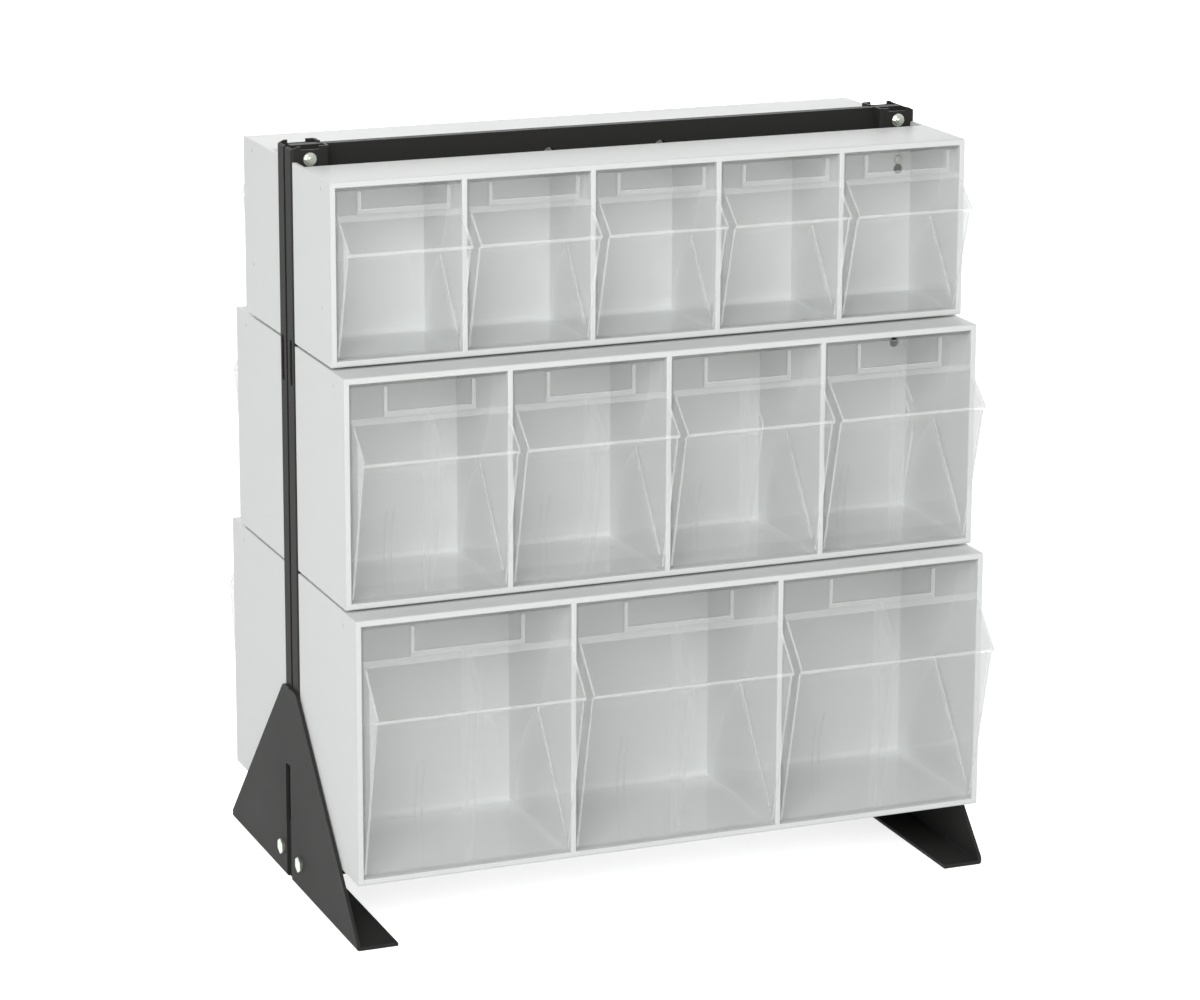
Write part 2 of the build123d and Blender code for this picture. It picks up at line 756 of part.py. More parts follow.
with BuildPart() as frame_washers:
    for y in (back_plane, -back_plane - washer_thickness):
        with BuildSketch(Plane.XZ.offset(y)):
            with Locations((-bolt_x, bolt_z), (bolt_x, bolt_z)):
                Circle(washer_diameter / 2)
                Circle(bolt_hole / 2, mode=Mode.SUBTRACT)
        extrude(amount=washer_thickness)
frame_washers.part.label = "frame_washers"
export_step(frame_washers.part, "parts/frame_washers.step")

with BuildPart() as frame_nuts:
    with BuildSketch(Plane.XZ.offset(-back_plane - washer_thickness - bolt_head)):
        with Locations((-bolt_x, bolt_z), (bolt_x, bolt_z)):
            RegularPolygon(bolt_flat / 2, 6, major_radius=False)
            Circle(bolt_shank / 2, mode=Mode.SUBTRACT)
    extrude(amount=bolt_head)
frame_nuts.part.label = "frame_nuts"
export_step(frame_nuts.part, "parts/frame_nuts.step")


# ---- screws of the cabinets and their nuts -------------------------------
spots = []
for tier, depth, height, underside, bins, shape, label in tiers:
    for x in (-keyhole_x, keyhole_x):
        spots.append((x, underside + height - keyhole_drop))
head_plane = back_plane + shell_wall

with BuildPart() as cabinet_screws:
    with BuildSketch(Plane.XZ.offset(screw_end)):
        with Locations(*spots):
            Circle(screw_shank / 2)
    extrude(amount=head_plane - screw_end + 0.5)
    with BuildSketch(Plane.XZ.offset(head_plane)):
        with Locations(*spots):
            Circle(screw_head / 2)
    extrude(amount=screw_head_height)
    rims = cabinet_screws.edges().filter_by(GeomType.CIRCLE).filter_by_position(
        Axis.Y, -head_plane - screw_head_height - 0.1, -head_plane - screw_head_height + 0.1
    )
    fillet(rims, radius=screw_head_edge)
    with Locations(turn):
        add(cabinet_screws.part)
cabinet_screws.part.label = "cabinet_screws"
export_step(cabinet_screws.part, "parts/cabinet_screws.step")

with BuildPart() as cabinet_nuts:
    with BuildSketch(Plane.XZ.offset(back_plane - upright_wall - screw_nut_height)):
        with Locations(*spots):
            RegularPolygon(screw_nut_flat / 2, 6, major_radius=False)
            Circle(screw_shank / 2, mode=Mode.SUBTRACT)
    extrude(amount=screw_nut_height)
    with Locations(turn):
        add(cabinet_nuts.part)
cabinet_nuts.part.label = "cabinet_nuts"
export_step(cabinet_nuts.part, "parts/cabinet_nuts.step")


# ---- hexagon bolts of the feet and their nuts ----------------------------
tab_face = upright_outer - foot_rail_thickness
with BuildPart() as foot_bolt:
    with BuildSketch(side_plane(tab_face - foot_nut_height - foot_bolt_tail, 0, 0)):
        with Locations((-foot_bolt_y, foot_bolt_z)):
            Circle(foot_bolt_shank / 2)
    extrude(amount=foot_outer + foot_bolt_seat - tab_face + foot_nut_height + foot_bolt_tail)
    # head: a round seat under a hexagon that stands on its corner
    with BuildSketch(side_plane(foot_outer, 0, 0)):
        with Locations((-foot_bolt_y, foot_bolt_z)):
            Circle(foot_bolt_flat / 2)
    extrude(amount=foot_bolt_seat)
    with BuildSketch(side_plane(foot_outer + foot_bolt_seat, 0, 0)):
        with Locations((-foot_bolt_y, foot_bolt_z)):
            RegularPolygon(foot_bolt_flat / 2, 6, major_radius=False, rotation=30)
    extrude(amount=foot_bolt_head - foot_bolt_seat)
    rim = foot_bolt.edges().group_by(Axis.X)[-1]
    chamfer(rim, length=foot_bolt_chamfer)
with BuildPart() as foot_bolts:
    add(foot_bolt.part)
    add(foot_bolt.part.mirror(Plane.YZ))
    with Locations(turn):
        add(foot_bolt.part)
        add(foot_bolt.part.mirror(Plane.YZ))
foot_bolts.part.label = "foot_bolts"
export_step(foot_bolts.part, "parts/foot_bolts.step")

with BuildPart() as foot_nuts:
    for x in (tab_face - foot_nut_height, -tab_face):
        for y in (-foot_bolt_y, foot_bolt_y):
            with BuildSketch(side_plane(x, 0, 0)):
                with Locations((y, foot_bolt_z)):
                    RegularPolygon(foot_nut_flat / 2, 6, major_radius=False, rotation=30)
                    Circle(foot_bolt_shank / 2, mode=Mode.SUBTRACT)
            extrude(amount=foot_nut_height)
foot_nuts.part.label = "foot_nuts"
export_step(foot_nuts.part, "parts/foot_nuts.step")
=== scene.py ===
import json
import math

import bmesh
import bpy
import numpy as np
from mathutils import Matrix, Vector


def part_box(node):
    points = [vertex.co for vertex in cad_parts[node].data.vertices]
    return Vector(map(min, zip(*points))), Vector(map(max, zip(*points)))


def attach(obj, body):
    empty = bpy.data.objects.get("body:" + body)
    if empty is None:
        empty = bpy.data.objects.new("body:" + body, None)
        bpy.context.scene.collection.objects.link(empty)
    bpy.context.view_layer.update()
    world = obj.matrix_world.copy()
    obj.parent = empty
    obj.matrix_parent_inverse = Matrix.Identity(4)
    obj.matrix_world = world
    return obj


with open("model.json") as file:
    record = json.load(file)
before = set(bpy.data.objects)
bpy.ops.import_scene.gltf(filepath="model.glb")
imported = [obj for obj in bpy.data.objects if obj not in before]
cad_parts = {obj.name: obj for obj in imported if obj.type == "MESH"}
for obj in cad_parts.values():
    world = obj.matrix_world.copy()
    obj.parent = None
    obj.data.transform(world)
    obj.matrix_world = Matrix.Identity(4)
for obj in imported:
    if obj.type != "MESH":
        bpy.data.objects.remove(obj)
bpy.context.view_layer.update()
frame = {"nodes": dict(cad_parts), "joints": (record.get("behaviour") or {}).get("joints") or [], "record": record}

# ---- where the camera stands ------------------------------------------------
# The photograph's own view: left of the front face, a little above it. Metres and
# degrees; the picture, the focal length and the optical centre are in pixels.
VIEW_AZIMUTH = -21.103
VIEW_ELEVATION = 13.647
VIEW_DISTANCE = 3.6315
VIEW_TARGET = (-0.0475, 0.0354, 0.4216)
PICTURE_WIDTH = 1200.0
PICTURE_HEIGHT = 1000.0
FOCAL_PIXELS = 3950.1
CENTRE_ACROSS = 540.0
CENTRE_DOWN = 400.0
SENSOR = 36.0                # millimetres
CLIP_NEAR = 0.05
CLIP_FAR = 60.0

# ---- light level -------------------------------------------------------------
AMBIENT = 0.385              # of the surroundings, for bounced light
BACKGROUND_WHITE = 1.0       # of the surroundings as seen, mirrored or through plastic
FLOOR_LIFT = 0.74            # glow that lifts the lit floor to white
FLOOR_THROUGH = 0.60         # brightness of the floor as seen through clear plastic
LAMP_DISTANCE = 4.3
LAMP_WIDTH = 2.8
LAMP_HEIGHT = 2.2
LAMP_TARGET = (0.0, 0.0, 0.35)
LAMPS = (                    # name, azimuth, elevation, watts
    ("front_box", -28.0, 30.0, 116.0),
    ("left_box", -88.0, 6.0, 22.0),
    ("back_box", 166.0, 8.0, 80.0),
    ("right_box", 92.0, 6.0, 48.0),
)
FLOOR_RADIUS = 14.0
FLOOR_RINGS = 24
FLOOR_SPOKES = 64

# ---- side view of the bins, metres, measured from each bin's own pivot ----------
# cabinet height; break and knee below its top; how far the knee stands out; floor length
BIN_SHAPES = {
    "top": (0.1615, 0.0300, 0.0570, 0.0290, 0.0860),
    "middle": (0.2050, 0.0365, 0.0675, 0.0330, 0.1120),
    "bottom": (0.2400, 0.0370, 0.0790, 0.0370, 0.1300),
}
PIVOT_UP = 0.0099            # above the underside of the cabinet
PIVOT_BACK = 0.0065          # behind the front of the cabinet
LABEL_FACE = -0.0057         # the upright face above the break
HEEL_RADIUS = 0.004
BIN_WALL = 0.0022
BIN_SIDE_WALL = 0.002
LIP_PROUD = 0.004            # of the lip at the knee, from the wall below it
LIP_HEIGHT = 0.003
SHOULDER_LENGTH = 0.0065     # raised band that starts at the break
SHOULDER_RISE = 0.0006

# ---- skins that paint highlight and shade on the parts of the clear bins that look lighter or greyer ---
SKIN_PROUD = 0.00006
SKIN_SUNK = 0.00025
SLOPE_SHORT = 0.0004         # from the end of the skin on the slope to the lip's tip
STUB_REACH = 0.00285         # from the side of a bin to the end of its stub pin
STOP_ANGLE = 55.0            # of the stop rib on the outside of a side wall, degrees
STOP_START = 0.009           # from the pivot
STOP_END = 0.001             # short of the floor length
STOP_FRONT = 0.0012          # from the rib's middle line to its front
STOP_REAR = 0.0018
STOP_PROUD = 0.0013
STOP_STEPS = 12

# label holder of a bin: width and sideways offset; a bar below and two upright lips
LABEL_HOLDERS = {"top": (0.084, 0.004), "middle": (0.0835, 0.0), "bottom": (0.105, 0.0)}
LABEL_GAP = 0.001            # from the break to the bar
LABEL_BAR = 0.0046
LABEL_LIP = 0.0032
LABEL_PROUD = 0.0018
LABEL_TOP = 0.0091           # below the top of the cabinet
LABEL_PARTING = 0.0001       # between the skins of the bar and the lips

# ---- ribs that hold a loose divider, on the front wall and on the rear wall ------
RIB_TIERS = ("middle", "bottom")
RIB_WIDTH = 0.0016
RIB_SPACING = 0.0066
RIB_EDGE = 0.0007
RIB_SUNK = 0.0003
RIB_ROUND = 0.0003
RIB_CORNER = 0.3
FRONT_RIB_STEPS = 44
REAR_RIB_DEPTH = 0.0022
REAR_RIB_TOP = 25.0          # degrees above the level of the pivot
REAR_RIB_FADE = 0.12         # share of the rib over which it gets shallower
REAR_RIB_LEAST = 0.35        # share of its depth left at its top end
REAR_RIB_STEPS = 20

# ---- shallow round marks of the mould on the end walls of the cabinets -----------
END_WALL = 0.2994
MARK_RADIUS = 0.0021
MARK_FLAT = 0.7              # share of the radius at which a mark is at full depth
MARK_SUNK = 2.0
# how far back from the middle and how high each mark is
MARKS = ((0.0995, 0.6595), (0.0995, 0.5555), (0.1275, 0.4930), (0.1470, 0.2845))


# ---- small helpers for node trees --------------------------------------------
def put(tree, kind, **values):
    """Adds one node and sets its plain properties or the default values of its inputs."""
    node = tree.nodes.new(kind)
    for key, value in values.items():
        if hasattr(node, key):
            setattr(node, key, value)
        else:
            node.inputs[key.replace("_", " ")].default_value = value
    return node


def calc(tree, operation, a, b):
    """One Math node with any operation; a and b are sockets or plain numbers."""
    node = tree.nodes.new("ShaderNodeMath")
    node.operation = operation
    for socket, value in zip(node.inputs, (a, b)):
        if isinstance(value, (int, float)):
            socket.default_value = value
        else:
            tree.links.new(value, socket)
    return node.outputs[0]


def spread(tree, value, low, high, to_low, to_high):
    """Map Range: the stretch low..high of a value becomes to_low..to_high, clamped."""
    node = tree.nodes.new("ShaderNodeMapRange")
    node.clamp = True
    tree.links.new(value, node.inputs["Value"])
    for name, number in (
        ("From Min", low),
        ("From Max", high),
        ("To Min", to_low),
        ("To Max", to_high),
    ):
        if isinstance(number, (int, float)):
            node.inputs[name].default_value = number
        else:
            tree.links.new(number, node.inputs[name])
    return node.outputs["Result"]


def new_group(name, inputs, outputs):
    """A shader node group with named inputs (name, kind, default) and outputs (name, kind)."""
    group = bpy.data.node_groups.new(name, "ShaderNodeTree")
    for label, kind, default in inputs:
        socket = group.interface.new_socket(name=label, in_out="INPUT", socket_type=kind)
        socket.default_value = default
    for label, kind in outputs:
        group.interface.new_socket(name=label, in_out="OUTPUT", socket_type=kind)
    start = group.nodes.new("NodeGroupInput")
    end = group.nodes.new("NodeGroupOutput")
    return group, start, end


def use_group(tree, group, **values):
    """Places a group in a material, with this material's own values on its inputs."""
    node = tree.nodes.new("ShaderNodeGroup")
    node.node_tree = group
    for key, value in values.items():
        socket = node.inputs[key.replace("_", " ")]
        if isinstance(value, (int, float, tuple)):
            socket.default_value = value
        else:
            tree.links.new(value, socket)
    return node


# ---- shared effects -----------------------------------------------------------
COLOUR = "NodeSocketColor"
NUMBER = "NodeSocketFloat"
SURFACE_OUTPUTS = [("Color", COLOUR), ("Roughness", NUMBER), ("Height", NUMBER)]
WAVE_HEIGHT = 2.0            # of the slow drift, against 1 for the fine grain
GRAIN_GLOSS = 0.08           # swing of the roughness from the fine grain
EDGE_FLAT = 0.99             # cosine between the rounded and the true normal on the flat
EDGE_TURNED = 0.86           # and where an edge is fully worn
PATCH_LOW = 0.42             # noise levels between which the wear comes up
PATCH_HIGH = 0.62
PATCH_LEAST = 0.15
# the specks are a painted glint on the powder coat
SPECK_CELLS = 1.6            # specks to one cell of the powder
SPECK_CORE = 0.10            # full out to here, gone beyond the rim, in cells of the specks
SPECK_RIM = 0.28
SPECK_STRENGTH = 0.35
CLOUD_GLOSS = 0.12
CELL_GLOSS = 0.15


def make_moulded_skin():
    """Moulded plastic: a slow drift of tone and gloss from the flow of the melt, a fine
    grain from the tool, and a height that adds both for a Bump node."""
    group, start, end = new_group(
        "moulded_skin",
        [
            ("Tone", COLOUR, (0.8, 0.8, 0.8, 1.0)),
            ("Drift", NUMBER, 0.03),
            ("Gloss", NUMBER, 0.4),
            ("Gloss Drift", NUMBER, 0.06),
            ("Grain", NUMBER, 900.0),
        ],
        SURFACE_OUTPUTS,
    )
    place = group.nodes.new("ShaderNodeTexCoord")
    slow = put(group, "ShaderNodeTexNoise", Scale=7.0, Detail=2.0, Roughness=0.5)
    fine = put(group, "ShaderNodeTexNoise", Detail=3.0, Roughness=0.6)
    group.links.new(place.outputs["Object"], slow.inputs["Vector"])
    group.links.new(place.outputs["Object"], fine.inputs["Vector"])
    group.links.new(start.outputs["Grain"], fine.inputs["Scale"])
    swing = calc(group, "SUBTRACT", slow.outputs["Fac"], 0.5)
    tone = calc(group, "ADD", calc(group, "MULTIPLY", swing, start.outputs["Drift"]), 1.0)
    mix = put(group, "ShaderNodeVectorMath", operation="SCALE")
    group.links.new(start.outputs["Tone"], mix.inputs[0])
    group.links.new(tone, mix.inputs["Scale"])
    group.links.new(mix.outputs["Vector"], end.inputs["Color"])
    gloss = calc(group, "MULTIPLY", swing, start.outputs["Gloss Drift"])
    grainy = calc(group, "SUBTRACT", fine.outputs["Fac"], 0.5)
    grainy = calc(group, "MULTIPLY", grainy, GRAIN_GLOSS)
    rough = calc(group, "ADD", calc(group, "ADD", gloss, grainy), start.outputs["Gloss"])
    group.links.new(rough, end.inputs["Roughness"])
    wave = calc(group, "MULTIPLY", slow.outputs["Fac"], WAVE_HEIGHT)
    height = calc(group, "ADD", fine.outputs["Fac"], wave)
    group.links.new(height, end.inputs["Height"])
    return group


def make_wear_and_rim_light_mask():
    """Edges rubbed by hands and floors, and rims that catch light: where a rounded normal
    departs from the true one, broken up by a noise, between 0 on the flat and 1 on a worn
    edge. It marks rubbed edges on the white housings and on the stand, where it is partly a
    painted highlight, and on clear plastic it places the painted highlight and painted shade
    of the rims."""
    group, start, end = new_group(
        "edge_wear",
        [
            ("Radius", NUMBER, 0.0008),
            ("Amount", NUMBER, 0.5),
            ("Patches", NUMBER, 60.0),
        ],
        [("Mask", NUMBER)],
    )
    bevel = put(group, "ShaderNodeBevel", samples=4)
    group.links.new(start.outputs["Radius"], bevel.inputs["Radius"])
    shape = group.nodes.new("ShaderNodeNewGeometry")
    dot = put(group, "ShaderNodeVectorMath", operation="DOT_PRODUCT")
    group.links.new(bevel.outputs["Normal"], dot.inputs[0])
    group.links.new(shape.outputs["Normal"], dot.inputs[1])
    turned = spread(group, dot.outputs["Value"], EDGE_FLAT, EDGE_TURNED, 0.0, 1.0)
    place = group.nodes.new("ShaderNodeTexCoord")
    patch = put(group, "ShaderNodeTexNoise", Detail=3.0)
    group.links.new(place.outputs["Object"], patch.inputs["Vector"])
    group.links.new(start.outputs["Patches"], patch.inputs["Scale"])
    broken = spread(group, patch.outputs["Fac"], PATCH_LOW, PATCH_HIGH, PATCH_LEAST, 1.0)
    patchy = calc(group, "MULTIPLY", turned, broken)
    mask = calc(group, "MULTIPLY", patchy, start.outputs["Amount"])
    group.links.new(mask, end.inputs["Mask"])
    return group


def make_orange_peel():
    """Powder coat: cells of fused powder as the height, tiny bright specks painted into the
    colour as glints where grains catch the light, and a gloss that varies with both."""
    group, start, end = new_group(
        "orange_peel",
        [
            ("Tone", COLOUR, (0.02, 0.02, 0.02, 1.0)),
            ("Speck", COLOUR, (0.1, 0.1, 0.1, 1.0)),
            ("Cell", NUMBER, 700.0),
            ("Gloss", NUMBER, 0.5),
        ],
        SURFACE_OUTPUTS,
    )
    place = group.nodes.new("ShaderNodeTexCoord")
    cells = put(group, "ShaderNodeTexNoise", Detail=2.0, Roughness=0.55)
    group.links.new(place.outputs["Object"], cells.inputs["Vector"])
    group.links.new(start.outputs["Cell"], cells.inputs["Scale"])
    specks = put(group, "ShaderNodeTexVoronoi", feature="F1")
    group.links.new(place.outputs["Object"], specks.inputs["Vector"])
    speck_scale = calc(group, "MULTIPLY", start.outputs["Cell"], SPECK_CELLS)
    group.links.new(speck_scale, specks.inputs["Scale"])
    away = specks.outputs["Distance"]
    # painted glint: the speck colour is mixed into the coat where this mask is high
    glint = spread(group, away, SPECK_CORE, SPECK_RIM, SPECK_STRENGTH, 0.0)
    cloud = put(group, "ShaderNodeTexNoise", Scale=9.0, Detail=2.0)
    group.links.new(place.outputs["Object"], cloud.inputs["Vector"])
    tone = put(group, "ShaderNodeMix", data_type="RGBA")
    group.links.new(glint, tone.inputs[0])
    group.links.new(start.outputs["Tone"], tone.inputs[6])
    group.links.new(start.outputs["Speck"], tone.inputs[7])
    group.links.new(tone.outputs[2], end.inputs["Color"])
    swing = calc(group, "SUBTRACT", cloud.outputs["Fac"], 0.5)
    swing = calc(group, "MULTIPLY", swing, CLOUD_GLOSS)
    fleck = calc(group, "SUBTRACT", cells.outputs["Fac"], 0.5)
    fleck = calc(group, "MULTIPLY", fleck, CELL_GLOSS)
    rough = calc(group, "ADD", calc(group, "ADD", swing, fleck), start.outputs["Gloss"])
    group.links.new(rough, end.inputs["Roughness"])
    group.links.new(cells.outputs["Fac"], end.inputs["Height"])
    return group


moulded_skin = make_moulded_skin()
edge_wear = make_wear_and_rim_light_mask()
orange_peel = make_orange_peel()


# ---- materials ----------------------------------------------------------------
WHITE = (1.0, 1.0, 1.0, 1.0)
DARK = (0.0, 0.0, 0.0, 1.0)
HOUSING_TONE = (0.735, 0.750, 0.742, 1.0)
HOUSING_WORN = (0.83, 0.84, 0.83, 1.0)
MARK_TONE = (0.60, 0.615, 0.605, 1.0)
COAT_TONE = (0.028, 0.0275, 0.0265, 1.0)
COAT_GLINT_PAINT = (0.09, 0.09, 0.085, 1.0)
COAT_WEAR_AND_HIGHLIGHT = (0.11, 0.11, 0.105, 1.0)
ZINC_TONE = (0.66, 0.70, 0.62, 1.0)
FLOOR_TONE = (0.90, 0.90, 0.90, 1.0)
CLEAR_TONE = (0.982, 0.988, 0.985, 1.0)
RIM_HIGHLIGHT_PAINT = WHITE            # painted highlight on the rims of sheets, shoulders and divider ribs
RIM_SHADE_PAINT = (0.58, 0.59, 0.585, 1.0)     # painted shade on the rims of lips and stop ribs
SHEET_IOR = 1.015            # low, so that a thin wall seen along its length stays clear
COAT_IOR = 1.5               # the gloss of the plastic comes from its coat

# how much light passes, the colour painted on the rims (white a painted highlight, grey a painted shade), their
# haze and reach, and the gloss between them
CLEAR_FINISHES_AND_RIM_PAINT = {
    "clear_styrene": (0.97, RIM_HIGHLIGHT_PAINT, 0.0, 0.0014, 0.9),
    "clear_styrene_lip": (0.80, RIM_SHADE_PAINT, 0.1, 0.0014, 0.5),
    "clear_styrene_stop": (0.70, RIM_SHADE_PAINT, 0.1, 0.0014, 0.5),
    "clear_styrene_shoulder": (0.90, RIM_HIGHLIGHT_PAINT, 0.1, 0.0014, 0.5),
    "clear_styrene_rib": (0.94, RIM_HIGHLIGHT_PAINT, 0.0, 0.0003, 0.05),
}


def new_material(name):
    """An empty node material with its output node."""
    material = bpy.data.materials.new(name)
    material.use_nodes = True
    tree = material.node_tree
    tree.nodes.clear()
    output = tree.nodes.new("ShaderNodeOutputMaterial")
    return material, tree, output


def blend_shaders(tree, factor, a, b, output):
    """Mixes two shaders by a mask, 0 for the first and 1 for the second, as the surface."""
    mix = tree.nodes.new("ShaderNodeMixShader")
    tree.links.new(factor, mix.inputs["Fac"])
    tree.links.new(a.outputs["BSDF"], mix.inputs[1])
    tree.links.new(b.outputs["BSDF"], mix.inputs[2])
    tree.links.new(mix.outputs["Shader"], output.inputs["Surface"])


def bump(tree, height, strength, distance):
    """A Bump node on a height, ready to feed Normal."""
    node = put(tree, "ShaderNodeBump", Strength=strength, Distance=distance)
    tree.links.new(height, node.inputs["Height"])
    return node.outputs["Normal"]


def blend_colour(tree, factor, a, b):
    """Mixes two colours by a mask; each is a socket or a plain colour."""
    node = put(tree, "ShaderNodeMix", data_type="RGBA")
    tree.links.new(factor, node.inputs[0])
    for socket, value in ((node.inputs[6], a), (node.inputs[7], b)):
        if isinstance(value, tuple):
            socket.default_value = value
        else:
            tree.links.new(value, socket)
    return node.outputs[2]


def mould_marks(tree):
    """A mask of the round marks on the end walls: the distance, in the plane of the wall,
    to the nearest mark, as 1 inside its radius and 0 outside, on the end walls only. Both
    halves of the stand and both ends share it through the absolute X and Y."""
    place = tree.nodes.new("ShaderNodeTexCoord")
    split = tree.nodes.new("ShaderNodeSeparateXYZ")
    tree.links.new(place.outputs["Object"], split.inputs[0])
    across = calc(tree, "ABSOLUTE", split.outputs["X"], 0.0)
    deep = calc(tree, "ABSOLUTE", split.outputs["Y"], 0.0)
    nearest = None
    for mark_y, mark_z in MARKS:
        side = calc(tree, "POWER", calc(tree, "SUBTRACT", deep, mark_y), 2.0)
        up = calc(tree, "POWER", calc(tree, "SUBTRACT", split.outputs["Z"], mark_z), 2.0)
        away = calc(tree, "SQRT", calc(tree, "ADD", side, up), 0.0)
        nearest = away if nearest is None else calc(tree, "MINIMUM", nearest, away)
    inside = spread(tree, nearest, MARK_RADIUS * MARK_FLAT, MARK_RADIUS, 1.0, 0.0)
    return calc(tree, "MULTIPLY", inside, calc(tree, "GREATER_THAN", across, END_WALL))


def make_white_styrene():
    """The white moulded housings: satin, cool white, slightly lighter on worn edges, with
    the round marks of the mould sunk into the end walls."""
    material, tree, output = new_material("white_styrene")
    shader = put(tree, "ShaderNodeBsdfPrincipled", IOR=1.5, Specular_IOR_Level=0.04)
    skin = use_group(
        tree, moulded_skin, Tone=HOUSING_TONE, Drift=0.03, Gloss=0.42, Gloss_Drift=0.10,
        Grain=1400.0,
    )
    worn = use_group(tree, edge_wear, Radius=0.0007, Amount=0.35, Patches=25.0)
    marks = mould_marks(tree)
    tone = blend_colour(tree, worn.outputs["Mask"], skin.outputs["Color"], HOUSING_WORN)
    tone = blend_colour(tree, marks, tone, MARK_TONE)
    tree.links.new(tone, shader.inputs["Base Color"])
    tree.links.new(skin.outputs["Roughness"], shader.inputs["Roughness"])
    sunk = calc(tree, "MULTIPLY", marks, MARK_SUNK)
    relief = calc(tree, "SUBTRACT", skin.outputs["Height"], sunk)
    tree.links.new(bump(tree, relief, strength=0.12, distance=0.0002), shader.inputs["Normal"])
    tree.links.new(shader.outputs["BSDF"], output.inputs["Surface"])
    return material


def make_clear_styrene(name):
    """Clear crystal styrene with a faint flow waviness. Its rims look unlike its sheets,
    because light that runs inside the wall leaves there: a mask of rounded edges paints
    that look into the colour, as a painted highlight or a painted shade per finish, hazes it
    and adds gloss. Lamps and bounced light pass straight through it, so the goods space
    inside stays bright. In CLEAR_FINISHES_AND_RIM_PAINT, through is how much of the light
    passes as in glass, glow the colour painted on a rim (white a painted highlight, grey a
    painted shade), haze its added roughness, rim_radius how far a rim reaches and gloss the
    coat of the sheet between the rims."""
    through, glow, haze, rim_radius, gloss = CLEAR_FINISHES_AND_RIM_PAINT[name]
    material, tree, output = new_material(name)
    shader = put(
        tree, "ShaderNodeBsdfPrincipled", IOR=SHEET_IOR, Transmission_Weight=through,
        Coat_Roughness=0.03, Coat_IOR=COAT_IOR,
    )
    skin = use_group(
        tree, moulded_skin, Tone=CLEAR_TONE, Drift=0.01, Gloss=0.05,
        Gloss_Drift=0.03, Grain=45.0,
    )
    # rim mask: where it is 1, the glow colour is painted in as the rim's highlight or shade for this finish
    rim = use_group(tree, edge_wear, Radius=rim_radius, Amount=1.0, Patches=8.0)
    tone = blend_colour(tree, rim.outputs["Mask"], skin.outputs["Color"], glow)
    tree.links.new(tone, shader.inputs["Base Color"])
    coat = spread(tree, rim.outputs["Mask"], 0.0, 1.0, gloss, 1.0)
    tree.links.new(coat, shader.inputs["Coat Weight"])
    hazy = calc(tree, "MULTIPLY", rim.outputs["Mask"], haze)
    rough = calc(tree, "ADD", skin.outputs["Roughness"], hazy)
    tree.links.new(rough, shader.inputs["Roughness"])
    relief = bump(tree, skin.outputs["Height"], strength=0.02, distance=0.0002)
    tree.links.new(relief, shader.inputs["Normal"])
    path = tree.nodes.new("ShaderNodeLightPath")
    clear = put(tree, "ShaderNodeBsdfTransparent", Color=WHITE)
    passing = calc(tree, "MAXIMUM", path.outputs["Is Shadow Ray"], path.outputs["Is Diffuse Ray"])
    blend_shaders(tree, passing, shader, clear, output)
    return material


def make_black_powder_coat():
    """The stand: black powder coat with its orange peel and painted glints, greyer on rubbed
    edges, where the grey is partly wear and partly a painted highlight.
    """
    material, tree, output = new_material("black_powder_coat")
    shader = put(tree, "ShaderNodeBsdfPrincipled", IOR=1.5, Specular_IOR_Level=0.085)
    peel = use_group(
        tree, orange_peel, Tone=COAT_TONE, Speck=COAT_GLINT_PAINT, Cell=900.0, Gloss=0.56
    )
    # rubbed edges made greyer: partly wear, partly a painted highlight along the edges
    worn = use_group(tree, edge_wear, Radius=0.0009, Amount=0.6, Patches=45.0)
    tone = blend_colour(tree, worn.outputs["Mask"], peel.outputs["Color"], COAT_WEAR_AND_HIGHLIGHT)
    tree.links.new(tone, shader.inputs["Base Color"])
    tree.links.new(peel.outputs["Roughness"], shader.inputs["Roughness"])
    relief = bump(tree, peel.outputs["Height"], strength=0.25, distance=0.00025)
    tree.links.new(relief, shader.inputs["Normal"])
    tree.links.new(shader.outputs["BSDF"], output.inputs["Surface"])
    return material


def make_bright_zinc():
    """Fasteners: bright zinc plating, pale with a trace of green, finely clouded."""
    material, tree, output = new_material("bright_zinc")
    shader = put(tree, "ShaderNodeBsdfPrincipled", Metallic=1.0)
    skin = use_group(
        tree, moulded_skin, Tone=ZINC_TONE, Drift=0.25, Gloss=0.30, Gloss_Drift=0.30,
        Grain=2400.0,
    )
    tree.links.new(skin.outputs["Color"], shader.inputs["Base Color"])
    tree.links.new(skin.outputs["Roughness"], shader.inputs["Roughness"])
    relief = bump(tree, skin.outputs["Height"], strength=0.2, distance=0.0001)
    tree.links.new(relief, shader.inputs["Normal"])
    tree.links.new(shader.outputs["BSDF"], output.inputs["Surface"])
    return material


finishes = {
    "white_plastic": make_white_styrene(),
    "clear_plastic": make_clear_styrene("clear_styrene"),
    "black_steel": make_black_powder_coat(),
    "zinc_steel": make_bright_zinc(),
}
# materials of the skins and ribs: a painted shade on the rims of the lip and stop skins, a painted highlight on
# the shoulder, the label holder and the rib edges
lip_light_and_shade = make_clear_styrene("clear_styrene_lip")
stop_light_and_shade = make_clear_styrene("clear_styrene_stop")
shoulder_highlight = make_clear_styrene("clear_styrene_shoulder")
rib_edge_highlight = make_clear_styrene("clear_styrene_rib")
slot_of = {s["node"]: s["material_slot"] for s in frame["record"]["subparts"]}
for node, piece in frame["nodes"].items():
    piece.data.materials.clear()
    piece.data.materials.append(finishes[slot_of[node]])


# ---- scene helpers ----------------------------------------------------------------
def add_object(name, data):
    """Puts one object with its data into the scene."""
    obj = bpy.data.objects.new(name, data)
    bpy.context.scene.collection.objects.link(obj)
    return obj


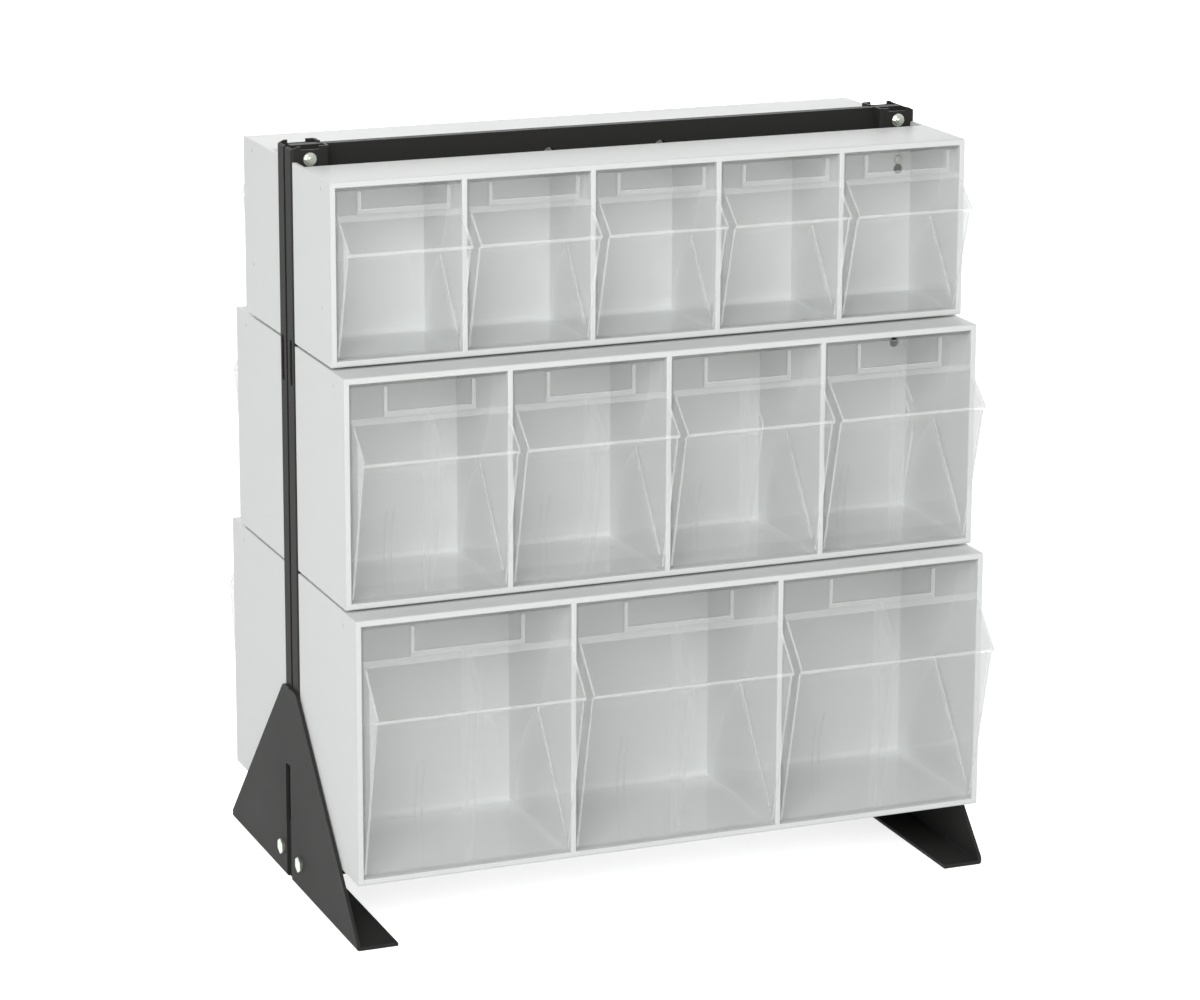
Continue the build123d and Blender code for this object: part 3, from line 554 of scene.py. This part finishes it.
def look_at(obj, target, azimuth, elevation, distance):
    """Puts a camera or lamp at a distance from a target and turns it towards the target.
    Azimuth 0 is in front and grows to the right, elevation 0 is level."""
    a, e = math.radians(azimuth), math.radians(elevation)
    back = Vector((math.sin(a) * math.cos(e), -math.cos(a) * math.cos(e), math.sin(e)))
    obj.location = Vector(target) + back * distance
    obj.rotation_mode = "QUATERNION"
    obj.rotation_quaternion = (-back).to_track_quat("-Z", "Y")


# ---- what rides on each bin: divider ribs and the skins that paint light and shade ---
def bin_side(tier):
    """Corner points of a bin's front in the side view, from its pivot: how far back, how
    far up. The lower wall is the tangent from the knee lip to the heel circle, and the
    slope runs from the break to the tip of the lip."""
    height, break_drop, knee_drop, proud, length = BIN_SHAPES[tier]
    knee_up = height - knee_drop - PIVOT_UP
    tip = -proud - PIVOT_BACK
    low = (tip + LIP_PROUD, knee_up - LIP_HEIGHT)
    touch = math.atan2(low[1], low[0]) + math.acos(HEEL_RADIUS / math.hypot(low[0], low[1]))
    return {
        "break": (LABEL_FACE, height - break_drop - PIVOT_UP),
        "tip": (tip, knee_up),
        "under_tip": (tip, knee_up - LIP_HEIGHT),
        "low": low,
        "touch": touch,
        "heel": (HEEL_RADIUS * math.cos(touch), HEEL_RADIUS * math.sin(touch)),
        "length": length,
    }


def front_wall_inside(tier, up):
    """How far back the inner side of a bin's front wall lies at the heights up, from the
    pivot. The lower wall and the slope are each moved back by the wall, which along Y is
    the wall times the root of one plus the line's own lean squared, and the further back
    of the two counts. Below the tangent point the heel circle takes over."""
    side = bin_side(tier)
    low, heel, tip, crest = side["low"], side["heel"], side["tip"], side["break"]
    lower_lean = (low[0] - heel[0]) / (low[1] - heel[1])
    slope_lean = (tip[0] - crest[0]) / (tip[1] - crest[1])
    inward = BIN_WALL - RIB_SUNK
    lower = heel[0] + (up - heel[1]) * lower_lean + inward * math.sqrt(1 + lower_lean**2)
    slope = crest[0] + (up - crest[1]) * slope_lean + inward * math.sqrt(1 + slope_lean**2)
    radius = HEEL_RADIUS - inward
    circle = -np.sqrt(np.maximum(radius**2 - up**2, 0.0))
    return np.where(up < radius * math.sin(side["touch"]), circle, np.maximum(lower, slope))


def rib_rings(root, edge, across):
    """Rings of eight points round a rib: root is the line of points where it grows from
    the wall, edge the line of its free edge, both n by 2 in the side view, and across the
    X of its middle. The two corners of the free edge are rounded: each has a point
    RIB_ROUND away from it either way and one between them, RIB_CORNER of that inward.
    The result is n rings of 8 points in X, Y, Z."""
    back = edge - root
    deep = np.linalg.norm(back, axis=1, keepdims=True)
    way = back / deep
    half = RIB_WIDTH / 2
    bite = RIB_ROUND * RIB_CORNER
    steps = (
        (-half, np.zeros_like(deep)),
        (half, np.zeros_like(deep)),
        (half, deep - RIB_ROUND),
        (half - bite, deep - bite),
        (half - RIB_ROUND, deep),
        (RIB_ROUND - half, deep),
        (bite - half, deep - bite),
        (-half, deep - RIB_ROUND),
    )
    rings = []
    for x, reach in steps:
        flat = root + way * reach
        rings.append(np.column_stack([np.full(len(root), across + x), flat[:, 0], flat[:, 1]]))
    return np.stack(rings, axis=1)


def close_rings(rings, first):
    """Faces of a closed tube of n rings of m points, numbered from first: a quad between
    neighbouring points of neighbouring rings, and one face at each end."""
    n, m = rings.shape[:2]
    i, j = np.meshgrid(np.arange(n - 1), np.arange(m), indexing="ij")
    k = (j + 1) % m
    quads = np.stack([i * m + j, i * m + k, (i + 1) * m + k, (i + 1) * m + j], axis=-1)
    faces = (quads.reshape(-1, 4) + first).tolist()
    faces.append((np.arange(m)[::-1] + first).tolist())
    faces.append((np.arange(m) + (n - 1) * m + first).tolist())
    return faces


def skin_rings(line, from_x, to_x):
    """Rings of four points for a thin skin that lies along a line of the side view, from
    one X to another. At each point of the line the outward way is the mean of the ways
    square to the two runs beside it, and the ring goes from SKIN_SUNK inside the surface
    to SKIN_PROUD outside it. The line runs downwards along the front."""
    line = np.array(line)
    run = np.diff(line, axis=0)
    run /= np.linalg.norm(run, axis=1, keepdims=True)
    out = np.column_stack([run[:, 1], -run[:, 0]])
    out = np.vstack([out[:1], (out[:-1] + out[1:]) / 2, out[-1:]])
    outer = line + out * SKIN_PROUD
    inner = line - out * SKIN_SUNK
    rings = []
    for x, flat in ((from_x, inner), (to_x, inner), (to_x, outer), (from_x, outer)):
        rings.append(np.column_stack([np.full(len(line), x), flat[:, 0], flat[:, 1]]))
    return np.stack(rings, axis=1)


def place_on_bin(joint, tubes, suffix, light_and_shade_paint):
    """One piece made of several closed tubes of rings, set on a bin's pivot. A bin of the
    back half is turned half a turn about the upright axis. The piece rides on the bin."""
    name = joint["child"]
    points, faces = [], []
    for rings in tubes:
        faces += close_rings(rings, sum(len(p) for p in points))
        points.append(rings.reshape(-1, 3))
    points = np.vstack(points)
    facing = 1.0 if name.split("_")[1] == "front" else -1.0
    points[:, :2] *= facing
    points += np.array(joint["pos_m"])
    mesh = bpy.data.meshes.new(name + suffix)
    mesh.from_pydata(points.tolist(), [], faces)
    shape = bmesh.new()
    shape.from_mesh(mesh)
    bmesh.ops.recalc_face_normals(shape, faces=shape.faces)
    shape.to_mesh(mesh)
    shape.free()
    mesh.materials.append(light_and_shade_paint)
    piece = add_object(name + suffix, mesh)
    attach(piece, name)


def make_divider_ribs(joint):
    """The two pairs of ribs of one bin. In front each rib fills from the front wall back
    to one upright line just behind the pivot, from the floor up to the break. At the back
    each rib follows the rear wall's circle about the pivot and stands REAR_RIB_DEPTH
    inward of it, less towards its top end."""
    tier = joint["child"].split("_")[2]
    side = bin_side(tier)
    floor_up = -(HEEL_RADIUS - BIN_WALL) - RIB_SUNK / 2
    up = np.linspace(floor_up, side["break"][1], FRONT_RIB_STEPS)
    root = np.column_stack([front_wall_inside(tier, up), up])
    edge = np.column_stack([np.full_like(up, RIB_EDGE), up])
    rear = side["length"] - BIN_WALL + RIB_SUNK
    low_turn = math.asin(floor_up / rear)
    turn = np.linspace(low_turn, math.radians(REAR_RIB_TOP), REAR_RIB_STEPS)
    circle = np.column_stack([np.cos(turn), np.sin(turn)])
    fade = (turn[-1] - turn) / (REAR_RIB_FADE * turn[-1])
    depth = REAR_RIB_DEPTH * np.clip(fade, REAR_RIB_LEAST, 1.0)
    tubes = []
    for across in (-RIB_SPACING / 2, RIB_SPACING / 2):
        tubes.append(rib_rings(root, edge, across))
        tubes.append(rib_rings(circle * rear, circle * (rear - depth)[:, None], across))
    # the ribs are real; their material paints a highlight along their edges
    place_on_bin(joint, tubes, "_ribs", rib_edge_highlight)


def stop_rib_rings(length, side_x, outward):
    """Rings of four points for the sleeve round a stop rib: a straight band from the
    pivot's side up and back at STOP_ANGLE. It goes from SKIN_SUNK inside the side wall,
    whose outer face is at side_x, to SKIN_PROUD outside the rib's outer face, and stands
    SKIN_PROUD off the rib's front and rear. outward is the side, -1 or 1."""
    lean = math.radians(STOP_ANGLE)
    along = np.array([math.cos(lean), math.sin(lean)])
    square = np.array([-along[1], along[0]])
    reach = np.linspace(STOP_START, length - STOP_END, STOP_STEPS)[:, None]
    rings = []
    front, rear = STOP_FRONT + SKIN_PROUD, -STOP_REAR - SKIN_PROUD
    root, face = -SKIN_SUNK, STOP_PROUD + SKIN_PROUD
    for depth, off in ((root, front), (root, rear), (face, rear), (face, front)):
        flat = along * reach + square * off
        level = np.full(len(reach), side_x + outward * depth)
        rings.append(np.column_stack([level, flat[:, 0], flat[:, 1]]))
    return np.stack(rings, axis=1)


def holder_rings(tier):
    """Rings for the skins on the faces of a label holder: the bar along the bottom and the
    two upright lips above it, each a flat box from SKIN_SUNK inside the face to
    SKIN_PROUD in front of it."""
    wide, shift = LABEL_HOLDERS[tier]
    low = bin_side(tier)["break"][1] + LABEL_GAP
    high = BIN_SHAPES[tier][0] - LABEL_TOP - PIVOT_UP
    face = LABEL_FACE - LABEL_PROUD
    left, right = shift - wide / 2, shift + wide / 2
    bar_top = low + LABEL_BAR
    boxes = (
        (left, right, bar_top, low),
        (left, left + LABEL_LIP, high, bar_top + LABEL_PARTING),
        (right - LABEL_LIP, right, high, bar_top + LABEL_PARTING),
    )
    return [skin_rings([(face, a), (face, b)], from_x, to_x) for from_x, to_x, a, b in boxes]


def make_skins(joint):
    """The three skins of one bin, thin sheets that paint light and shade onto it: one piece
    on the lip at the knee and on the front edges of both side walls, from the shoulder to the
    heel, and one round the two stop ribs, both sheets painted lighter with a painted shade
    along their rims, and one on the raised shoulder under the break and on the label holder,
    a painted highlight. The bin is as wide as its node, less the stub pin on either side."""
    name = joint["child"]
    tier = name.split("_")[2]
    side = bin_side(tier)
    low_corner, high_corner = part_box(name)
    half = (high_corner[0] - low_corner[0]) / 2 - STUB_REACH
    crest, tip = np.array(side["break"]), np.array(side["tip"])
    down = (tip - crest) / np.linalg.norm(tip - crest)
    out = np.array([down[1], -down[0]])
    raised = crest + out * SHOULDER_RISE
    shoulder = [raised, raised + down * SHOULDER_LENGTH]
    slope = [crest + down * (SHOULDER_LENGTH + SHOULDER_RISE), tip - down * SLOPE_SHORT]
    lip = [tip, np.array(side["under_tip"])]
    lower = [np.array(side["low"]), np.array(side["heel"])]
    stops, edges = [], [skin_rings(lip, -half, half)]
    for outward in (-1, 1):
        stops.append(stop_rib_rings(side["length"], outward * half, outward))
        from_x, to_x = sorted((outward * half, outward * (half - BIN_SIDE_WALL)))
        edges.append(skin_rings(slope, from_x, to_x))
        edges.append(skin_rings(lower, from_x, to_x))
    # lip, edge and stop-rib skins: sheets painted lighter with a painted shade along their rims
    place_on_bin(joint, edges, "_lip", lip_light_and_shade)
    place_on_bin(joint, stops, "_stops", stop_light_and_shade)
    # shoulder and label holder skins: a painted highlight
    pale = [skin_rings(shoulder, -half, half)] + holder_rings(tier)
    place_on_bin(joint, pale, "_shoulder", shoulder_highlight)


for joint in frame["joints"]:
    make_skins(joint)
    if joint["child"].split("_")[2] in RIB_TIERS:
        make_divider_ribs(joint)


# ---- floor ---------------------------------------------------------------------
def make_floor(radius, rings, spokes):
    """A round pale floor: point (r, a) of a polar grid lies at (r cos a, r sin a, 0), with
    the rings at radius times the square of an even step, so they are close together in the
    middle; the centre is one point."""
    step = (np.arange(1, rings + 1) / rings) ** 2 * radius
    angle = np.arange(spokes) / spokes * 2 * math.pi
    r, a = np.meshgrid(step, angle, indexing="ij")
    ring = np.stack([r * np.cos(a), r * np.sin(a), np.zeros_like(r)], axis=-1).reshape(-1, 3)
    points = np.vstack([[[0.0, 0.0, 0.0]], ring])
    i, j = np.meshgrid(np.arange(rings - 1), np.arange(spokes), indexing="ij")
    k = (j + 1) % spokes
    here, outside = 1 + i * spokes, 1 + (i + 1) * spokes
    quads = np.stack([here + j, outside + j, outside + k, here + k], axis=-1).reshape(-1, 4)
    s = np.arange(spokes)
    fan = np.stack([np.zeros_like(s), 1 + s, 1 + (s + 1) % spokes], axis=-1)
    mesh = bpy.data.meshes.new("floor")
    mesh.from_pydata(points.tolist(), [], quads.tolist() + fan.tolist())
    return add_object("floor", mesh)


def make_floor_material():
    """A pale floor that camera and gloss see lifted to white, and that keeps the soft
    shadow of the stand. Through clear plastic it has one even level below white, so that
    a clear bin stands out from it. From below it is open."""
    material, tree, output = new_material("pale_floor")
    shader = put(tree, "ShaderNodeBsdfPrincipled", Roughness=0.7)
    shader.inputs["Emission Color"].default_value = WHITE
    grain = use_group(
        tree, moulded_skin, Tone=FLOOR_TONE, Drift=0.01, Gloss=0.7, Gloss_Drift=0.02,
        Grain=300.0,
    )
    path = tree.nodes.new("ShaderNodeLightPath")
    inside = path.outputs["Is Transmission Ray"]
    tone = blend_colour(tree, inside, grain.outputs["Color"], DARK)
    tree.links.new(tone, shader.inputs["Base Color"])
    seen = calc(tree, "MAXIMUM", path.outputs["Is Camera Ray"], path.outputs["Is Glossy Ray"])
    through = calc(tree, "MULTIPLY", inside, FLOOR_THROUGH)
    lift = calc(tree, "MAXIMUM", calc(tree, "MULTIPLY", seen, FLOOR_LIFT), through)
    tree.links.new(lift, shader.inputs["Emission Strength"])
    below = tree.nodes.new("ShaderNodeNewGeometry")
    clear = tree.nodes.new("ShaderNodeBsdfTransparent")
    blend_shaders(tree, below.outputs["Backfacing"], shader, clear, output)
    return material


floor = make_floor(FLOOR_RADIUS, FLOOR_RINGS, FLOOR_SPOKES)
floor.data.materials.append(make_floor_material())


# ---- world ---------------------------------------------------------------------
world = bpy.data.worlds.new("studio")
bpy.context.scene.world = world
world.use_nodes = True
tree = world.node_tree
tree.nodes.clear()
output = tree.nodes.new("ShaderNodeOutputWorld")
around = tree.nodes.new("ShaderNodeBackground")
path = tree.nodes.new("ShaderNodeLightPath")
seen = calc(tree, "MAXIMUM", path.outputs["Is Camera Ray"], path.outputs["Is Glossy Ray"])
seen = calc(tree, "MAXIMUM", seen, path.outputs["Is Transmission Ray"])
around.inputs["Color"].default_value = WHITE
level = spread(tree, seen, 0.0, 1.0, AMBIENT, BACKGROUND_WHITE)
tree.links.new(level, around.inputs["Strength"])
tree.links.new(around.outputs["Background"], output.inputs["Surface"])


# ---- lamps ---------------------------------------------------------------------
def soft_box(name, azimuth, elevation, watts):
    """A rectangular soft box aimed at the middle of the stand, unseen by the camera."""
    lamp = bpy.data.lights.new(name, "AREA")
    lamp.shape = "RECTANGLE"
    lamp.size = LAMP_WIDTH
    lamp.size_y = LAMP_HEIGHT
    lamp.energy = watts
    obj = add_object(name, lamp)
    look_at(obj, LAMP_TARGET, azimuth, elevation, LAMP_DISTANCE)
    obj.visible_camera = False


for settings in LAMPS:
    soft_box(*settings)


# ---- camera --------------------------------------------------------------------
camera_data = bpy.data.cameras.new("photo_camera")
camera = add_object("photo_camera", camera_data)
look_at(camera, VIEW_TARGET, VIEW_AZIMUTH, VIEW_ELEVATION, VIEW_DISTANCE)
camera_data.sensor_width = SENSOR
camera_data.lens = FOCAL_PIXELS * SENSOR / PICTURE_WIDTH
camera_data.shift_x = (PICTURE_WIDTH / 2 - CENTRE_ACROSS) / PICTURE_WIDTH
camera_data.shift_y = (CENTRE_DOWN - PICTURE_HEIGHT / 2) / PICTURE_WIDTH
camera_data.clip_start = CLIP_NEAR
camera_data.clip_end = CLIP_FAR
bpy.context.scene.camera = camera
bpy.context.scene.view_settings.view_transform = "Standard"
